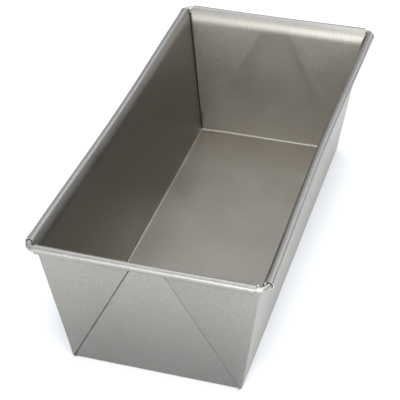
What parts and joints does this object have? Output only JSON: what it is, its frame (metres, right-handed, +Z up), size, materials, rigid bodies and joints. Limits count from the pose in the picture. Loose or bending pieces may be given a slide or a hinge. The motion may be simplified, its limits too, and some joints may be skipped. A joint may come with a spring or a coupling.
{
  "type": "loaf pan",
  "caption": "Tapered rectangular loaf pan folded from coated sheet steel, with triangular corner ears and a rim rolled over a steel wire; holds dough or batter for baking.",
  "frame": {"origin": "middle of the flat base, at the level of the table", "axes": "+Z up out of the open top, Y along the length, X across the width"},
  "size_m": [0.1164, 0.254, 0.076],
  "materials": {
    "coated_sheet": "satin pewter-grey release coating on aluminised steel, with a very fine grain",
    "steel_wire": "bright drawn steel wire, bare at the four corner bends"
  },
  "bodies": {
    "root": {"folded_sheet": "coated_sheet", "rim_wire": "steel_wire"}
  },
  "joints": []
}
